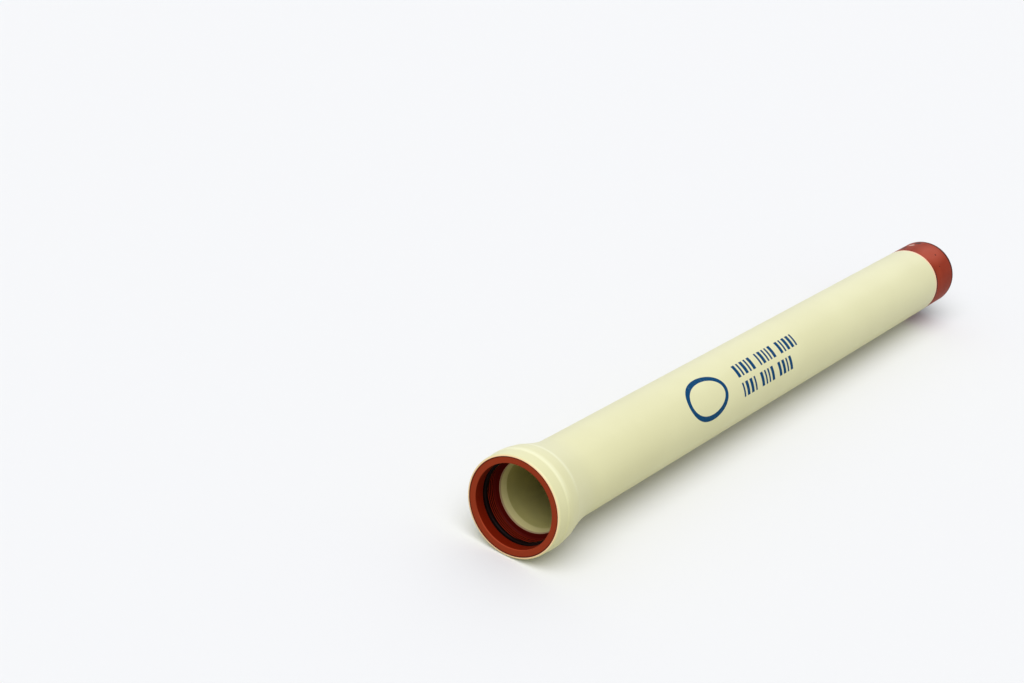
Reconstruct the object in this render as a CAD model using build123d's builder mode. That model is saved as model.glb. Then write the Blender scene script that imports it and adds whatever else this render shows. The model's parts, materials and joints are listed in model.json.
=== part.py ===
# A ductile iron water pipe, lying level: one casting with a push-on socket, the rubber gasket in it,
# a cream coat outside and a cream lining inside.
# Millimetres, +Z up. The pipe runs along Y, with its socket towards -Y. The origin is on the floor,
# under the middle of the pipe.
import os

from build123d import *

# The pipe as a whole
pipe_length = 2000.0
spigot_radius = 85.0
spigot_step = 1.0
spigot_step_length = 2.0
spigot_bevel_length = 6.0
spigot_bevel_depth = 2.0
iron_wall = 7.4

# Inside of the socket, from its face backwards
mouth_clearance = 2.0
mouth_edge_bevel = 1.0
mouth_length = 24.0
heel_seat_depth = 9.5
heel_seat_length = 5.5
key_height = 3.5
key_ramp_length = 1.5
key_length = 1.8
bulb_seat_depth = 2.5
bulb_seat_ramp_length = 1.8
bulb_seat_length = 3.4
chamber_ramp_length = 5.0
chamber_front_clearance = 5.5
chamber_back_clearance = 3.5
socket_depth = 66.0
socket_bottom_bevel = 3.0

# Fine raised rings on the chamber wall, behind the gasket
ring_count = 4
ring_pitch = 4.8
ring_height = 0.6
ring_half_width = 0.9
first_ring_gap = 2.6

# Outside of the socket, from its face backwards: how the iron rises and falls, stretch by stretch.
# The bell's slope is its fall per millimetre where it begins.
face_width = 13.3
rim_round = 4.0
collar_length = 27.0
collar_wall = 8.5
crest_step = 1.0
crest_step_length = 5.0
crest_length = 13.0
crest_fall = 3.6
crest_fall_length = 26.0
shoulder_step = 1.3
shoulder_step_length = 4.0
bell_length = 97.0
bell_slope = 0.22

# Gasket: a heel held by the key in the iron, and a round bulb that the next pipe squeezes
gasket_setback = 1.0
bulb_squeeze = 3.0
bulb_round = 6.3
bulb_place = 10.0

# Coat outside, from the rim of the face to the bare spigot
coat_thickness = 1.0
bare_spigot_length = 117.0

# Lining inside
lining_thickness = 5.0
lining_rim = 0.8
lining_bevel_length = 18.5
lining_end_bevel = 1.5

# Small rounds are drawn as flats, so that the turned faces stay few
rim_flat_count = 3
bulb_flat_count = 12

# Radii that follow
barrel_radius = spigot_radius - spigot_step
bore_radius = barrel_radius - iron_wall
lining_bore_radius = bore_radius - lining_thickness
mouth_radius = spigot_radius + mouth_clearance
heel_seat_radius = mouth_radius + heel_seat_depth
key_radius = heel_seat_radius - key_height
bulb_seat_radius = key_radius + bulb_seat_depth
chamber_front_radius = spigot_radius + chamber_front_clearance
chamber_back_radius = spigot_radius + chamber_back_clearance
bulb_middle_radius = spigot_radius - bulb_squeeze + bulb_round
face_radius = mouth_radius + face_width
collar_radius = heel_seat_radius + collar_wall
crest_radius = collar_radius + crest_step
crest_back_radius = crest_radius - crest_fall
shoulder_radius = crest_back_radius - shoulder_step

# Places along the pipe that follow, from the socket face
heel_end = mouth_length + heel_seat_length
key_start = heel_end + key_ramp_length
key_end = key_start + key_length
bulb_seat_start = key_end + bulb_seat_ramp_length
bulb_seat_end = bulb_seat_start + bulb_seat_length
chamber_start = bulb_seat_end + chamber_ramp_length
crest_start = collar_length + crest_step_length
crest_end = crest_start + crest_length
crest_fall_end = crest_end + crest_fall_length
bell_start = crest_fall_end + shoulder_step_length
bell_end = bell_start + bell_length
coat_end = pipe_length - bare_spigot_length

# The pipe lies with the coat of its crest on the floor
axis_height = crest_radius + coat_thickness
face_y = coat_thickness - (pipe_length + coat_thickness) / 2

# Sections are drawn as (place along the pipe, radius). Their plane hangs down from the axis,
# so the seams of the turned faces lie underneath.
section = Plane(origin=(0, face_y, axis_height), x_dir=(0, 1, 0), z_dir=(-1, 0, 0))
pipe_axis = Axis((0, 0, axis_height), (0, 1, 0))


def draw_outside(lift):
    # From the rim of the face over the socket to the end of the coat, lift away from the iron.
    # Returns the two ends of the line.
    rim = CenterArc((rim_round, face_radius), rim_round + lift, 180, -90, mode=Mode.PRIVATE)
    stretches = Polyline(
        *[rim @ (i / rim_flat_count) for i in range(rim_flat_count + 1)],
        (collar_length, collar_radius + lift),
        (crest_start, crest_radius + lift),
        (crest_end, crest_radius + lift),
        (crest_fall_end, crest_back_radius + lift),
        (bell_start, shoulder_radius + lift),
    )
    bell = Spline(
        stretches @ 1,
        (bell_end, barrel_radius + lift),
        tangents=[(1, -bell_slope), (1, 0)],
    )
    barrel = Line(bell @ 1, (coat_end, barrel_radius + lift))
    return stretches @ 0, barrel @ 1


# The whole hollow inside the iron: mouth, gasket seat, chamber with its rings, and bore
with BuildSketch(section) as hollow:
    with BuildLine():
        seat = Polyline(
            (0, 0),
            (0, mouth_radius + mouth_edge_bevel),
            (mouth_edge_bevel, mouth_radius),
            (mouth_length, mouth_radius),
            (mouth_length, heel_seat_radius),
            (heel_end, heel_seat_radius),
            (key_start, key_radius),
            (key_end, key_radius),
            (bulb_seat_start, bulb_seat_radius),
            (bulb_seat_end, bulb_seat_radius),
            (chamber_start, chamber_front_radius),
        )
        chamber_wall = Line(seat @ 1, (socket_depth - socket_bottom_bevel, chamber_back_radius))
        Polyline(
            chamber_wall @ 1,
            (socket_depth, chamber_back_radius - socket_bottom_bevel),
            (socket_depth, bore_radius),
            (pipe_length, bore_radius),
            (pipe_length, 0),
            (0, 0),
        )
    make_face()
    ring_lift = ring_half_width - ring_height
    ring_places = [first_ring_gap + i * ring_pitch for i in range(ring_count)]
    ring_feet = [chamber_wall.position_at(place, PositionMode.LENGTH) for place in ring_places]
    with Locations([foot + Vector(0, ring_lift) for foot in ring_feet]):
        RegularPolygon(ring_half_width, 4, mode=Mode.SUBTRACT)

with BuildPart() as pipe_casting:
    with BuildSketch(section):
        with BuildLine():
            front, back = draw_outside(0)
            Polyline(
                back,
                (coat_end + spigot_step_length, spigot_radius),
                (pipe_length - spigot_bevel_length, spigot_radius),
                (pipe_length, spigot_radius - spigot_bevel_depth),
                (pipe_length, 0),
                (0, 0),
                front,
            )
        make_face()
        add(hollow.sketch_local, mode=Mode.SUBTRACT)
    revolve(axis=pipe_axis)

with BuildPart() as outer_coating:
    with BuildSketch(section):
        with BuildLine():
            front, back = draw_outside(coat_thickness)
            Polyline(back, (coat_end, 0), (0, 0), (0, face_radius), front)
        make_face()
        with BuildLine():
            front, back = draw_outside(0)
            Polyline(back, (coat_end, 0), (0, 0), front)
        make_face(mode=Mode.SUBTRACT)
    revolve(axis=pipe_axis)

with BuildPart() as inner_lining:
    with BuildSketch(section):
        with BuildLine():
            Polyline(
                (socket_depth, bore_radius),
                (socket_depth, bore_radius - lining_rim),
                (socket_depth + lining_bevel_length, lining_bore_radius),
                (pipe_length - lining_end_bevel, lining_bore_radius),
                (pipe_length, lining_bore_radius + lining_end_bevel),
                (pipe_length, bore_radius),
                close=True,
            )
        make_face()
    revolve(axis=pipe_axis)

with BuildPart() as gasket:
    with BuildSketch(section):
        with BuildLine():
            Polyline(
                (mouth_length, mouth_radius + gasket_setback),
                (mouth_length, heel_seat_radius),
                (chamber_start, heel_seat_radius),
                (chamber_start, chamber_front_radius),
                close=True,
            )
        make_face()
        with Locations((mouth_length + bulb_place, bulb_middle_radius)):
            RegularPolygon(bulb_round, bulb_flat_count)
        add(hollow.sketch_local, mode=Mode.INTERSECT)
    revolve(axis=pipe_axis)

pipe_casting.part.label = "pipe_casting"
outer_coating.part.label = "outer_coating"
inner_lining.part.label = "inner_lining"
gasket.part.label = "gasket"

os.makedirs("parts", exist_ok=True)
export_step(pipe_casting.part, "parts/pipe_casting.step")
export_step(outer_coating.part, "parts/outer_coating.step")
export_step(inner_lining.part, "parts/inner_lining.step")
export_step(gasket.part, "parts/gasket.step")
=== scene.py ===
import json
from math import cos, radians, sin, tau

import bmesh
import bpy
from mathutils import Matrix, Vector


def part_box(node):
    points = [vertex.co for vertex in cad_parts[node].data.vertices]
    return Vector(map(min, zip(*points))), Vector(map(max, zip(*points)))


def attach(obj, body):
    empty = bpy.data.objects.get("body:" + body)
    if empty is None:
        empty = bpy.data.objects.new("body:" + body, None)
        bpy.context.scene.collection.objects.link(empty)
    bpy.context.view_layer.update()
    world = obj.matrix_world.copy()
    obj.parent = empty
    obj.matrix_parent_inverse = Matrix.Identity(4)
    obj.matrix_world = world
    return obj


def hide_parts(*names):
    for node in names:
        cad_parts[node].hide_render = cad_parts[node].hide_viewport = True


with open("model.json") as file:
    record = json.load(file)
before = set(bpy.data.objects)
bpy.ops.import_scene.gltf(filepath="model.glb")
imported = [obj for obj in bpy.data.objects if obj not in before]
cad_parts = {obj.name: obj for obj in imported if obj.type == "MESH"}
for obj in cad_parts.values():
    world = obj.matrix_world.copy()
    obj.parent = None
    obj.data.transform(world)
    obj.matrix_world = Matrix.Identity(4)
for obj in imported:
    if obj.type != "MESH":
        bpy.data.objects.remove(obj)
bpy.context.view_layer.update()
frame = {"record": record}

# A ductile iron pipe on a pale floor: red painted casting, cream coat and lining, black gasket.
# Metres. The pipe runs along Y, with its socket towards -Y. An outline is a list of corners:
# place along the pipe from the socket face, radius, and how far from the corner its round starts.

castingLow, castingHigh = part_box("pipe_casting")
faceY = castingLow[1]                       # the plane of the socket face
axisZ = (castingLow[2] + castingHigh[2]) / 2
pipeLength = castingHigh[1] - faceY
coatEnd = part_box("outer_coating")[1][1] - faceY
roundMounts = {mount["name"]: mount["dims"]["r_mm"] / 1000 for mount in frame["record"]["mounts"]}
spigotStep = 0.001                          # the iron is this much lower under the coat
liningThickness = 0.005

pipe = {
    "turnSteps": 256,                       # flats around every turned piece
    "roundSegments": 6,
    "sharpAngle": radians(40),
    "spigotRadius": roundMounts["spigot"],
    "barrelRadius": roundMounts["spigot"] - spigotStep,         # the iron under the coat
    "mouthRadius": roundMounts["socket_mouth"],
    "boreRadius": roundMounts["waterway"] + liningThickness,    # the iron around the lining
    "liningRadius": roundMounts["waterway"],
    "socketDepth": 0.066,
}


# Shapes

def addPiece(name, bm, material):
    mesh = bpy.data.meshes.new(name)
    bm.to_mesh(mesh)
    bm.free()
    mesh.materials.append(material)
    mesh.shade_smooth()
    mesh.set_sharp_from_angle(angle=pipe["sharpAngle"])
    piece = bpy.data.objects.new(name, mesh)
    bpy.context.scene.collection.objects.link(piece)
    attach(piece, "root")
    return piece


def turnPiece(name, corners, material):
    # The outline stands above the axis, gets its rounds and is spun once around
    bm = bmesh.new()
    verts = [bm.verts.new((0, faceY + place, axisZ + radius)) for place, radius, _ in corners]
    for first, second in zip(verts, verts[1:] + verts[:1]):
        bm.edges.new((first, second))
    for vert, (_, _, reach) in zip(verts, corners):
        if reach:
            bmesh.ops.bevel(
                bm, geom=[vert], offset=reach, segments=pipe["roundSegments"], profile=0.5,
                affect="VERTICES", clamp_overlap=True, material=-1,
            )
    bmesh.ops.spin(
        bm, geom=bm.verts[:] + bm.edges[:], cent=(0, 0, axisZ), axis=(0, 1, 0), angle=tau,
        steps=pipe["turnSteps"], use_merge=True,
    )
    bmesh.ops.recalc_face_normals(bm, faces=bm.faces)
    return addPiece(name, bm, material)


# Materials

def newMaterial(name, settings):
    material = bpy.data.materials.new(name)
    material.use_nodes = True
    shader = material.node_tree.nodes["Principled BSDF"]
    shader.inputs["Roughness"].default_value = settings["roughness"]
    shader.inputs["Specular IOR Level"].default_value = settings["gloss"]
    return material, material.node_tree.nodes, material.node_tree.links, shader


def addNoise(nodes, links, scale, detail, stretch=(1, 1, 1)):
    # Noise on Object coordinates, centred on the pipe's axis
    place = nodes.new("ShaderNodeTexCoord")
    mapping = nodes.new("ShaderNodeMapping")
    mapping.inputs["Location"].default_value = (0, 0, -axisZ * stretch[2])
    mapping.inputs["Scale"].default_value = stretch
    noise = nodes.new("ShaderNodeTexNoise")
    noise.inputs["Scale"].default_value = scale
    noise.inputs["Detail"].default_value = detail
    links.new(place.outputs["Object"], mapping.inputs["Vector"])
    links.new(mapping.outputs["Vector"], noise.inputs["Vector"])
    return noise.outputs["Fac"]


def addRange(nodes, links, value, start, end, top=1.0):
    # 0 at start, top at end
    span = nodes.new("ShaderNodeMapRange")
    span.inputs["From Min"].default_value = start
    span.inputs["From Max"].default_value = end
    span.inputs["To Max"].default_value = top
    links.new(value, span.inputs["Value"])
    return span.outputs["Result"]


def addMix(nodes, links, share, first, second):
    mix = nodes.new("ShaderNodeMix")
    mix.data_type = "RGBA"
    links.new(share, mix.inputs["Factor"])
    for socket, colour in ((mix.inputs["A"], first), (mix.inputs["B"], second)):
        if isinstance(colour, tuple):
            socket.default_value = (*colour, 1)
        else:
            links.new(colour, socket)
    return mix.outputs["Result"]


def addProduct(nodes, links, first, second):
    product = nodes.new("ShaderNodeMath")
    product.operation = "MULTIPLY"
    links.new(first, product.inputs[0])
    links.new(second, product.inputs[1])
    return product.outputs["Value"]


def addPatches(nodes, links, settings):
    # The piece's colour, with patches of the second one
    noise = addNoise(nodes, links, *settings["patchNoise"])
    patches = addRange(nodes, links, noise, *settings["patchRange"])
    return addMix(nodes, links, patches, settings["colour"], settings["patchColour"])


def addGrain(nodes, links, shader, settings):
    # Fine unevenness of the surface
    strength, distance = settings["grainBump"]
    bump = nodes.new("ShaderNodeBump")
    bump.inputs["Strength"].default_value = strength
    bump.inputs["Distance"].default_value = distance
    links.new(addNoise(nodes, links, *settings["grainNoise"]), bump.inputs["Height"])
    links.new(bump.outputs["Normal"], shader.inputs["Normal"])


def addPlaces(nodes, links):
    # Place along Y, height, and radius from the pipe's axis
    place = nodes.new("ShaderNodeTexCoord")
    parts = nodes.new("ShaderNodeSeparateXYZ")
    links.new(place.outputs["Object"], parts.inputs["Vector"])
    across = nodes.new("ShaderNodeVectorMath")
    across.operation = "MULTIPLY_ADD"
    across.inputs[1].default_value = (1, 0, 1)
    across.inputs[2].default_value = (0, 0, -axisZ)
    radius = nodes.new("ShaderNodeVectorMath")
    radius.operation = "LENGTH"
    links.new(place.outputs["Object"], across.inputs[0])
    links.new(across.outputs["Vector"], radius.inputs[0])
    return parts.outputs["Y"], parts.outputs["Z"], radius.outputs["Value"]


def addAlong(nodes, links, along, start, end):
    # 0 at the first place from the socket face, 1 at the second
    return addRange(nodes, links, along, faceY + start, faceY + end)


def addBand(nodes, links, along, places):
    # Rises from the first place to the second, and falls to the third
    rise, top, fall = places
    front = addAlong(nodes, links, along, rise, top)
    back = addAlong(nodes, links, along, fall, top)
    return addProduct(nodes, links, front, back)


# Outlines that two pieces share

# The socket's outside, as radii of the bare iron
socketOutside = [
    (0.0275, 0.1050, 0.0006),
    (0.0315, 0.1060, 0.0006),
    (0.045, 0.1060, 0.006),
    (0.071, 0.1024, 0.0008),
    (0.075, 0.1011, 0.0008),
    (0.103, 0.0938, 0.012),
    (0.128, 0.0883, 0.012),
    (0.150, 0.0852, 0.0095),
    (0.169, pipe["barrelRadius"], 0.009),
]
rim = {"radius": 0.1013, "round": 0.003}    # the face ends at this radius, where its round begins

# The gasket's seat: place, radius, and the rounds of the iron's and the rubber's corner there
gasketSeat = [
    (0.0255, 0.0965, 0, 0.0004),
    (0.0295, 0.0965, 0, 0.0002),
    (0.0310, 0.0930, 0.0003, 0.0002),
    (0.0328, 0.0930, 0.0003, 0.0002),
    (0.0346, 0.0955, 0, 0),
    (0.0380, 0.0955, 0, 0),
]
seatFront = gasketSeat[0][0]


# Casting

casting = {
    "colour": (0.308, 0.035, 0.0122),
    "patchColour": (0.245, 0.026, 0.0092),
    # painted shade: the socket face has its own darker copy of the red paint
    "shadedFaceColour": (0.268, 0.036, 0.0135),
    # painted shade inside the socket: the entry, the chamber and the step behind it are darker than the
    # paint
    "entryShadeColour": (0.152, 0.009, 0.002),
    "chamberShadeColour": (0.020, 0.001, 0.001),
    # painted highlight on the crests of the chamber's fine rings
    "crestHighlightColour": (0.350, 0.029, 0.009),
    "stepShadeColour": (0.085, 0.004, 0.002),
    "edgeColour": (0.060, 0.010, 0.006),
    "chipColour": (0.62, 0.40, 0.33),
    "entryDepth": (0.0004, 0.0016),         # where the face's shaded colour turns into the entry's painted shade
    "mouthHighlightDepth": (0.0002, 0.0014, 0.0036),  # rise, top and fall of the painted highlight on the mouth's edge
    "mouthHighlightHeight": (axisZ - 0.020, axisZ - 0.060),       # none above, full below
    "mouthHighlightColour": (0.540, 0.085, 0.035),
    "rimLine": (0.0030, 0.0014),            # fading and full reach of the dark line round the face
    "rimLineDepth": 0.002,
    "rimLineColour": (0.070, 0.008, 0.004),
    "chamberDepth": (0.024, 0.043),         # where the entry's painted shade turns into the chamber's darker painted shade
    "crestHighlightRange": (0.40, 1.0),              # how high up a ring the painted highlight on its crest begins and is full
    "ringFade": 0.001,                      # how far before the chamber's end the crests fade
    "stepFade": 0.0005,
    "spigotStart": (1.0, 1.1),              # where the socket's colours give way to the spigot's
    "edgeReach": (0.010, 0.003),            # fading and full width of the dark edges
    "jointShadeHeight": (axisZ + 0.072, axisZ + 0.040),        # painted shade along the coat's end: none above, full below
    "nearRange": (1.3, 0.5),                # shares of its reach where a spot ends and where it is full
    "spotNoise": (350, 2),
    "spotRange": (0.20, 0.38),
    "spigotSheen": (1.930, radians(18), (0.075, 0.031)),       # middle and reach of the painted sheen on the spigot's upper side
    "spigotSheenColour": (0.395, 0.070, 0.040),
    "spots": [                              # place, angle from the top, reach along and across, colour
        (1.972, radians(-19), (0.013, 0.0110), "edgeColour"),
        (1.922, radians(-32), (0.018, 0.0100), "edgeColour"),
        (1.9445, radians(26), (0.0035, 0.0030), "edgeColour"),
        (1.925, radians(48), (0.0025, 0.0025), "edgeColour"),
        (1.950, radians(-25), (0.009, 0.0100), "chipColour"),
    ],
    "patchNoise": (14, 4),
    "patchRange": (0.38, 0.62),
    "grainNoise": (320, 3),
    "grainBump": (0.10, 0.0004),
    "roughness": 0.46,
    "gloss": 0.03,
    "stepLength": 0.002,
    "bevel": (0.006, 0.002),
    "chamber": ((0.043, 0.0905), (0.063, 0.0885)),      # place and radius of its two ends
    "bottomBevel": 0.003,
    "ringCount": 4,
    "firstRing": 0.0026,                    # from the chamber's start
    "ringPitch": 0.0048,
    "ringHeight": 0.0006,
    "ringHalfWidth": 0.0009,
    "ringRounds": (0.0003, 0.0005),         # at a ring's feet and on its crest
}


def addCrests(nodes, links):
    # 1 on the crest of each fine ring in the chamber, where the painted highlight goes. A wave's period is
    # tau / 20 over its scale.
    place = nodes.new("ShaderNodeTexCoord")
    mapping = nodes.new("ShaderNodeMapping")
    wave = nodes.new("ShaderNodeTexWave")
    firstCrest = faceY + casting["chamber"][0][0] + casting["firstRing"]
    mapping.inputs["Location"].default_value = (0, -firstCrest, 0)
    wave.bands_direction = "Y"
    wave.inputs["Scale"].default_value = tau / 20 / casting["ringPitch"]
    wave.inputs["Phase Offset"].default_value = tau / 4
    links.new(place.outputs["Object"], mapping.inputs["Vector"])
    links.new(mapping.outputs["Vector"], wave.inputs["Vector"])
    return addRange(nodes, links, wave.outputs["Fac"], *casting["crestHighlightRange"])


def addNear(nodes, links, place, angle, reach):
    # 1 in the middle of a place on the spigot, 0 outside its reach
    alongReach, acrossReach = reach
    radius = pipe["spigotRadius"]
    middle = (radius * sin(angle), faceY + place, axisZ + radius * cos(angle))
    coordinates = nodes.new("ShaderNodeTexCoord")
    mapping = nodes.new("ShaderNodeMapping")
    mapping.vector_type = "TEXTURE"
    mapping.inputs["Location"].default_value = middle
    mapping.inputs["Scale"].default_value = (acrossReach, alongReach, acrossReach)
    distance = nodes.new("ShaderNodeVectorMath")
    distance.operation = "LENGTH"
    links.new(coordinates.outputs["Object"], mapping.inputs["Vector"])
    links.new(mapping.outputs["Vector"], distance.inputs[0])
    return addRange(nodes, links, distance.outputs["Value"], *casting["nearRange"])


def addSpot(nodes, links, place, angle, reach):
    # 1 in the middle of a place on the spigot, 0 past its ragged edge
    near = addNear(nodes, links, place, angle, reach)
    ragged = addProduct(nodes, links, near, addNoise(nodes, links, *casting["spotNoise"]))
    return addRange(nodes, links, ragged, *casting["spotRange"])


def addSocketColours(nodes, links, along, height, radius):
    # Painted shade in the chamber, with a painted highlight on its ring crests, painted shade on the step
    # behind it and on the entry, the face's darker copy of the paint, a painted highlight low on the
    # mouth's edge, and the dark outline
    chamberEnd = casting["chamber"][1][0]
    inChamber = addAlong(nodes, links, along, chamberEnd, chamberEnd - casting["ringFade"])
    crests = addProduct(nodes, links, addCrests(nodes, links), inChamber)
    colour = addMix(nodes, links, crests, casting["chamberShadeColour"], casting["crestHighlightColour"])
    step = addAlong(nodes, links, along, chamberEnd - casting["stepFade"], chamberEnd)
    colour = addMix(nodes, links, step, colour, casting["stepShadeColour"])
    chamber = addAlong(nodes, links, along, *casting["chamberDepth"])
    colour = addMix(nodes, links, chamber, casting["entryShadeColour"], colour)
    entry = addAlong(nodes, links, along, *casting["entryDepth"])
    colour = addMix(nodes, links, entry, casting["shadedFaceColour"], colour)
    # painted highlight low on the mouth's edge
    low = addRange(nodes, links, height, *casting["mouthHighlightHeight"])
    mouthHighlight = addProduct(nodes, links, addBand(nodes, links, along, casting["mouthHighlightDepth"]), low)
    colour = addMix(nodes, links, mouthHighlight, colour, casting["mouthHighlightColour"])
    fading, full = casting["rimLine"]
    outline = addRange(nodes, links, radius, rim["radius"] - fading, rim["radius"] - full)
    front = addAlong(nodes, links, along, casting["rimLineDepth"], 0)
    outline = addProduct(nodes, links, outline, front)
    return addMix(nodes, links, outline, colour, casting["rimLineColour"])


def addSpigotSpotsAndShade(nodes, links, colour, along, height):
    # Spots, a darker band before the end's bevel, and painted shade low along the coat's end
    for place, angle, reach, colourName in casting["spots"]:
        spot = addSpot(nodes, links, place, angle, reach)
        colour = addMix(nodes, links, spot, colour, casting[colourName])
    fading, full = casting["edgeReach"]
    bevelStart = pipeLength - casting["bevel"][0]
    darkEnd = addAlong(nodes, links, along, bevelStart - fading, bevelStart - full)
    colour = addMix(nodes, links, darkEnd, colour, casting["edgeColour"])
    # painted shade on the spigot's lower side, next to the coat's end
    jointShade = addAlong(nodes, links, along, coatEnd + fading, coatEnd + full)
    jointShade = addProduct(nodes, links, jointShade, addAlong(nodes, links, along, coatEnd - full, coatEnd))
    jointShade = addProduct(nodes, links, jointShade, addRange(nodes, links, height, *casting["jointShadeHeight"]))
    return addMix(nodes, links, jointShade, colour, casting["edgeColour"])


def makeRedPaint():
    material, nodes, links, shader = newMaterial("redPaint", casting)
    along, height, radius = addPlaces(nodes, links)
    socketColours = addSocketColours(nodes, links, along, height, radius)
    # a painted sheen: the spigot's paint paler near its top
    spigotSheen = addNear(nodes, links, *casting["spigotSheen"])
    colour = addMix(nodes, links, spigotSheen, addPatches(nodes, links, casting), casting["spigotSheenColour"])
    spigot = addAlong(nodes, links, along, *casting["spigotStart"])
    colour = addMix(nodes, links, spigot, socketColours, colour)
    colour = addSpigotSpotsAndShade(nodes, links, colour, along, height)
    links.new(colour, shader.inputs["Base Color"])
    addGrain(nodes, links, shader, casting)
    return material


def makeCasting():
    end = pipeLength
    (chamberStart, chamberFront), (chamberEnd, chamberBack) = casting["chamber"]
    slope = (chamberBack - chamberFront) / (chamberEnd - chamberStart)
    footRound, crestRound = casting["ringRounds"]
    rings = []
    for i in range(casting["ringCount"]):
        place = casting["firstRing"] + i * casting["ringPitch"]
        foot = chamberFront + slope * place
        rings.append((chamberStart + place - casting["ringHalfWidth"], foot, footRound))
        rings.append((chamberStart + place, foot - casting["ringHeight"], crestRound))
        rings.append((chamberStart + place + casting["ringHalfWidth"], foot, footRound))
    inside = [
        (0, pipe["mouthRadius"], 0.001),
        (seatFront, pipe["mouthRadius"], 0.0004),
        *[(place, radius, ironRound) for place, radius, ironRound, _ in gasketSeat],
        (chamberStart, chamberFront, 0.001),
        *rings,
        (chamberEnd, chamberBack, 0.001),
        (pipe["socketDepth"], chamberBack - casting["bottomBevel"], 0.001),
        (pipe["socketDepth"], pipe["boreRadius"], 0),
        (end, pipe["boreRadius"], 0),
        (end, pipe["spigotRadius"] - casting["bevel"][1], 0.0006),
        (end - casting["bevel"][0], pipe["spigotRadius"], 0.0015),
        (coatEnd + casting["stepLength"], pipe["spigotRadius"], 0.0004),
        (coatEnd, pipe["barrelRadius"], 0),
    ]
    outside = [*reversed(socketOutside), (0, rim["radius"] + rim["round"], rim["round"])]
    piece = turnPiece("castingBody", inside + outside, makeRedPaint())
    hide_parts("pipe_casting")


# Coat

coat = {
    "colour": (0.748, 0.729, 0.436),
    "patchColour": (0.722, 0.701, 0.413),
    "crestHighlightColour": (0.850, 0.840, 0.570),
    # rise, top and fall of the painted highlight bands on the socket's steps
    "crestHighlightBands": [(0.025, 0.0315, 0.042), (0.064, 0.0715, 0.079)],
    "crestHighlightFade": (axisZ + 0.035, axisZ + 0.085),        # the painted highlights: none below, full above
    "edgeColour": (0.93, 0.62, 0.38),
    "rimReach": (0.003, 0.001),             # fading and full width of the peach edge at the rim
    "endReach": (0.009, 0.004),             # and at the spigot
    "patchNoise": (6, 3),
    "patchRange": (0.35, 0.65),
    "grainNoise": (260, 2),
    "grainBump": (0.06, 0.0004),
    "roughness": 0.36,
    "gloss": 0.50,
    "thickness": 0.001,
}


def makeCreamCoat():
    material, nodes, links, shader = newMaterial("creamCoat", coat)
    colour = addPatches(nodes, links, coat)
    along, height, radius = addPlaces(nodes, links)
    # painted highlights along the socket's outer steps, on its upper side only
    fade = addRange(nodes, links, height, *coat["crestHighlightFade"])
    for places in coat["crestHighlightBands"]:
        band = addProduct(nodes, links, addBand(nodes, links, along, places), fade)
        colour = addMix(nodes, links, band, colour, coat["crestHighlightColour"])
    fading, full = coat["endReach"]
    spigotEdge = addAlong(nodes, links, along, coatEnd - fading, coatEnd - full)
    colour = addMix(nodes, links, spigotEdge, colour, coat["edgeColour"])
    fading, full = coat["rimReach"]
    rimEdge = addRange(nodes, links, radius, rim["radius"] + fading, rim["radius"] + full)
    rimEdge = addProduct(nodes, links, rimEdge, addAlong(nodes, links, along, fading, 0))
    colour = addMix(nodes, links, rimEdge, colour, coat["edgeColour"])
    links.new(colour, shader.inputs["Base Color"])
    addGrain(nodes, links, shader, coat)
    return material


def makeCoat():
    lift = coat["thickness"]
    outer = [(-lift, rim["radius"] + rim["round"] + lift, rim["round"] + lift)]
    outer += [(place, radius + lift, reach) for place, radius, reach in socketOutside]
    outer += [(coatEnd, pipe["barrelRadius"] + lift, 0.0003), (coatEnd, pipe["barrelRadius"], 0)]
    inner = [*reversed(socketOutside), (0, rim["radius"] + rim["round"], rim["round"])]
    inner += [(0, rim["radius"], 0), (-lift, rim["radius"], 0)]
    piece = turnPiece("coatShell", outer + inner, makeCreamCoat())
    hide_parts("outer_coating")


# Lining

lining = {
    "colour": (0.55, 0.51, 0.20),
    "patchColour": (0.48, 0.45, 0.17),
    # painted light: the lining's bevel is paler than the bore
    "bevelLightColour": (0.62, 0.57, 0.27),
    "lipColour": (0.40, 0.27, 0.16),
    "lipReach": (0.0045, 0.00225),          # fading and full width of the lip's colour
    "bevelFade": 0.0005,
    "patchNoise": (9, 4, (1, 2, 1)),
    "patchRange": (0.35, 0.65),
    "grainNoise": (60, 3, (0.3, 3, 0.3)),
    "grainBump": (0.12, 0.0006),
    "roughness": 0.5,
    "gloss": 0.3,
    "rim": 0.0008,
    "bevelLength": 0.0185,
    "endBevel": 0.0015,
}


def makeCreamLining():
    material, nodes, links, shader = newMaterial("creamLining", lining)
    colour = addPatches(nodes, links, lining)
    along, _, _ = addPlaces(nodes, links)
    front = pipe["socketDepth"]
    bevelEnd = front + lining["bevelLength"]
    fade = lining["bevelFade"]
    # the bevel painted paler, as painted light
    bevel = addAlong(nodes, links, along, bevelEnd + fade, bevelEnd - fade)
    colour = addMix(nodes, links, bevel, colour, lining["bevelLightColour"])
    fading, full = lining["lipReach"]
    lip = addAlong(nodes, links, along, front + fading, front + full)
    colour = addMix(nodes, links, lip, colour, lining["lipColour"])
    links.new(colour, shader.inputs["Base Color"])
    addGrain(nodes, links, shader, lining)
    return material


def makeLining():
    front = pipe["socketDepth"]
    corners = [
        (front, pipe["boreRadius"], 0),
        (front, pipe["boreRadius"] - lining["rim"], 0.0002),
        (front + lining["bevelLength"], pipe["liningRadius"], 0.0006),
        (pipeLength - lining["endBevel"], pipe["liningRadius"], 0.0004),
        (pipeLength, pipe["liningRadius"] + lining["endBevel"], 0.0004),
        (pipeLength, pipe["boreRadius"], 0),
    ]
    piece = turnPiece("liningTube", corners, makeCreamLining())
    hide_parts("inner_lining")


# Gasket

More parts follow.
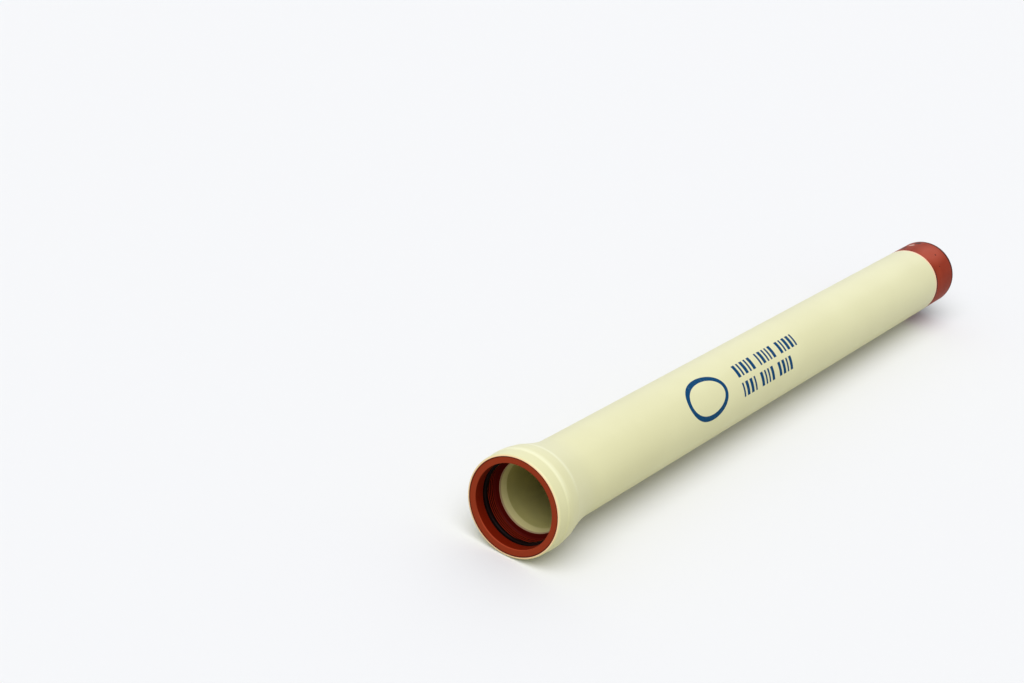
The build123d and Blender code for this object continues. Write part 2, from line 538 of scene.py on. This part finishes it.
gasket = {
    "colour": (0.005, 0.002, 0.002),
    "patchColour": (0.011, 0.004, 0.003),
    "patchNoise": (40, 4),
    "patchRange": (0.5, 0.8),
    "grainNoise": (400, 2),
    "grainBump": (0.08, 0.0003),
    "roughness": 0.26,
    "gloss": 0.03,
    "setback": 0.001,                       # the ring's front stands this far back from the mouth
    "bulb": (0.0288, 0.0396),               # places of the bulb's front and back
    "bulbFeet": (0.0885, 0.0902),           # radii where these begin
    "bulbReach": 0.0826,                    # the radius that the bulb reaches, inside the spigot's
    "bulbRound": 0.0052,
}


def makeBlackRubber():
    material, nodes, links, shader = newMaterial("blackRubber", gasket)
    links.new(addPatches(nodes, links, gasket), shader.inputs["Base Color"])
    addGrain(nodes, links, shader, gasket)
    return material


def makeGasket():
    chamberStart, chamberFront = casting["chamber"][0]
    bulbFront, bulbBack = gasket["bulb"]
    frontFoot, backFoot = gasket["bulbFeet"]
    corners = [
        (seatFront, pipe["mouthRadius"] + gasket["setback"], 0.0008),
        *[(place, radius, rubberRound) for place, radius, _, rubberRound in gasketSeat],
        (chamberStart, chamberFront, 0.0006),
        (bulbBack, backFoot, 0.0008),
        (bulbBack, gasket["bulbReach"], gasket["bulbRound"]),
        (bulbFront, gasket["bulbReach"], gasket["bulbRound"]),
        (bulbFront, frontFoot, 0.0008),
    ]
    piece = turnPiece("gasketRing", corners, makeBlackRubber())
    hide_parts("gasket")


# Print on the barrel: a plain ring and two rows of upright bars, with no lettering

ink = {
    "colour": (0.003, 0.056, 0.155),
    "patchColour": coat["colour"],
    "patchNoise": (180, 3),
    "patchRange": (0.60, 0.85, 0.12),       # a little of the coat shows through
    "roughness": 0.7,
    "gloss": 0.05,
    "lift": 0.00005,
    "thickness": 0.00006,
    "flatLength": 0.0025,                   # longest flat of the print around the pipe
    "ringPlace": 0.640,
    "ringAngle": radians(45),
    "ringReach": (0.050, 0.082),            # half its height around the pipe, half its length along
    "ringWidth": 0.012,
    "ringSides": 96,
    "markGap": 0.008,
    "wordGap": 0.024,
    "rows": [                               # words of marks: each mark's width in millimetres
        {
            "start": 0.784, "middle": radians(32), "height": 0.031,
            "words": ((12, 7, 12, 7, 12), (7, 12, 7, 7, 12), (12, 7, 12, 12, 7)),
        },
        {
            "start": 0.784, "middle": radians(62), "height": 0.032,
            "words": ((7, 12, 12, 7), (12, 7, 7, 12), (12, 12, 7, 12)),
        },
    ],
}


def layOnBarrel(bm, place, angle):
    # Bends a flat drawing round the coat, with X around the pipe and Y along it, and gives it a thickness
    reach = pipe["barrelRadius"] + coat["thickness"] + ink["lift"]
    for vert in bm.verts:
        turn = angle + vert.co.x / reach
        vert.co = (reach * sin(turn), faceY + place + vert.co.y, axisZ + reach * cos(turn))
    bmesh.ops.recalc_face_normals(bm, faces=bm.faces)
    bmesh.ops.solidify(bm, geom=bm.faces[:], thickness=ink["thickness"])
    bmesh.ops.recalc_face_normals(bm, faces=bm.faces)


def makeInk():
    material, nodes, links, shader = newMaterial("blueInk", ink)
    links.new(addPatches(nodes, links, ink), shader.inputs["Base Color"])
    return material


def makeRing(material):
    # A flat oval outline that is drawn outwards in bands
    bm = bmesh.new()
    halfHeight, halfLength = ink["ringReach"]
    bands = round(ink["ringWidth"] / ink["flatLength"])
    bandWidth = ink["ringWidth"] / bands
    inner = bmesh.ops.create_circle(bm, segments=ink["ringSides"], radius=1)["verts"]
    innerReach = (halfHeight - ink["ringWidth"], halfLength - ink["ringWidth"], 1)
    bmesh.ops.scale(bm, vec=innerReach, verts=inner)
    edges = bm.edges[:]
    for i in range(bands):
        band = bmesh.ops.extrude_edge_only(bm, edges=edges)["geom"]
        verts = [item for item in band if isinstance(item, bmesh.types.BMVert)]
        edges = [item for item in band if isinstance(item, bmesh.types.BMEdge)]
        edges = [edge for edge in edges if all(vert in verts for vert in edge.verts)]
        inset = bandWidth * (bands - i)
        growth = (1 + bandWidth / (halfHeight - inset), 1 + bandWidth / (halfLength - inset), 1)
        bmesh.ops.scale(bm, vec=growth, verts=verts)
    layOnBarrel(bm, ink["ringPlace"], ink["ringAngle"])
    addPiece("printRing", bm, material)


def makeRow(name, row, material):
    bm = bmesh.new()
    place = 0
    flats = round(row["height"] / ink["flatLength"])
    for word in row["words"]:
        for width in word:
            length = width / 1000
            middle = Matrix.Translation((0, place + length / 2, 0))
            size = Matrix.Diagonal((row["height"], length, 1, 1))
            bmesh.ops.create_grid(bm, x_segments=flats, y_segments=1, size=0.5, matrix=middle @ size)
            place += length + ink["markGap"]
        place += ink["wordGap"] - ink["markGap"]
    layOnBarrel(bm, row["start"], row["middle"])
    addPiece(name, bm, material)


def makePrint():
    material = makeInk()
    makeRing(material)
    for name, row in zip(("printRowA", "printRowB"), ink["rows"]):
        makeRow(name, row, material)


# Floor, light and camera

studio = {
    "floorColour": (0.61, 0.60, 0.42),
    "seenColour": (0.842, 0.845, 0.858),    # the floor as the camera and reflections see it
    "floorSize": 30.0,
    "roughness": 0.9,                       # the floor's
    "gloss": 0.1,
    "skyColour": (0.456, 0.463, 0.470),     # the sky's light on matt surfaces
    "seenSky": (0.930, 0.940, 0.955),       # the sky as the camera and reflections see it
    "lamps": {                              # where from, breadth in degrees, strength
        "topLamp": ((0.16, -0.51, 0.84), 54, 2.24),
        "backLamp": ((-0.38, 0.74, 0.55), 60, 0.26),
    },
}


def addLarger(nodes, links, first, second):
    larger = nodes.new("ShaderNodeMath")
    larger.operation = "MAXIMUM"
    links.new(first, larger.inputs[0])
    links.new(second, larger.inputs[1])
    return larger.outputs["Value"]


def addSeen(nodes, links, lit, seen):
    # One colour for the light that a surface passes on, and another for what the camera and reflections see
    rays = nodes.new("ShaderNodeLightPath")
    share = addLarger(nodes, links, rays.outputs["Is Camera Ray"], rays.outputs["Is Glossy Ray"])
    share = addLarger(nodes, links, share, rays.outputs["Is Transmission Ray"])
    return addMix(nodes, links, share, lit, seen)


def makeFloor():
    material, nodes, links, shader = newMaterial("paleFloor", studio)
    colour = addSeen(nodes, links, studio["floorColour"], studio["seenColour"])
    links.new(colour, shader.inputs["Base Color"])
    bm = bmesh.new()
    bmesh.ops.create_grid(bm, x_segments=1, y_segments=1, size=studio["floorSize"])
    mesh = bpy.data.meshes.new("floor")
    bm.to_mesh(mesh)
    bm.free()
    mesh.materials.append(material)
    floor = bpy.data.objects.new("floor", mesh)
    bpy.context.scene.collection.objects.link(floor)


def makeLight():
    world = bpy.data.worlds.new("paleSky")
    world.use_nodes = True
    nodes, links = world.node_tree.nodes, world.node_tree.links
    colour = addSeen(nodes, links, studio["skyColour"], studio["seenSky"])
    links.new(colour, nodes["Background"].inputs["Color"])
    bpy.context.scene.world = world
    for name, (comesFrom, breadth, strength) in studio["lamps"].items():
        lampData = bpy.data.lights.new(name, "SUN")
        lampData.angle = radians(breadth)
        lampData.energy = strength
        lamp = bpy.data.objects.new(name, lampData)
        lamp.rotation_euler = Vector(comesFrom).to_track_quat("Z", "Y").to_euler()
        bpy.context.scene.collection.objects.link(lamp)


view = {
    "place": (1.5472, -3.7549, 1.8327),
    "heading": radians(30.362),             # to the left of +Y
    "pitch": radians(23.743),               # down from level
    "roll": radians(10.301),
    "lens": 66.71,
}


def makeCamera():
    data = bpy.data.cameras.new("photoView")
    data.lens = view["lens"]
    camera = bpy.data.objects.new("photoView", data)
    turn = Matrix.Rotation(view["heading"], 4, "Z") @ Matrix.Rotation(radians(90) - view["pitch"], 4, "X")
    camera.matrix_world = Matrix.Translation(view["place"]) @ turn @ Matrix.Rotation(view["roll"], 4, "Z")
    bpy.context.scene.collection.objects.link(camera)
    bpy.context.scene.camera = camera


makeCasting()
print("casting made")
makeCoat()
print("coat made")
makeLining()
print("lining made")
makeGasket()
print("gasket made")
makePrint()
print("print made")
makeFloor()
makeLight()
makeCamera()
bpy.context.scene.view_settings.view_transform = "Standard"
print("studio and camera made")
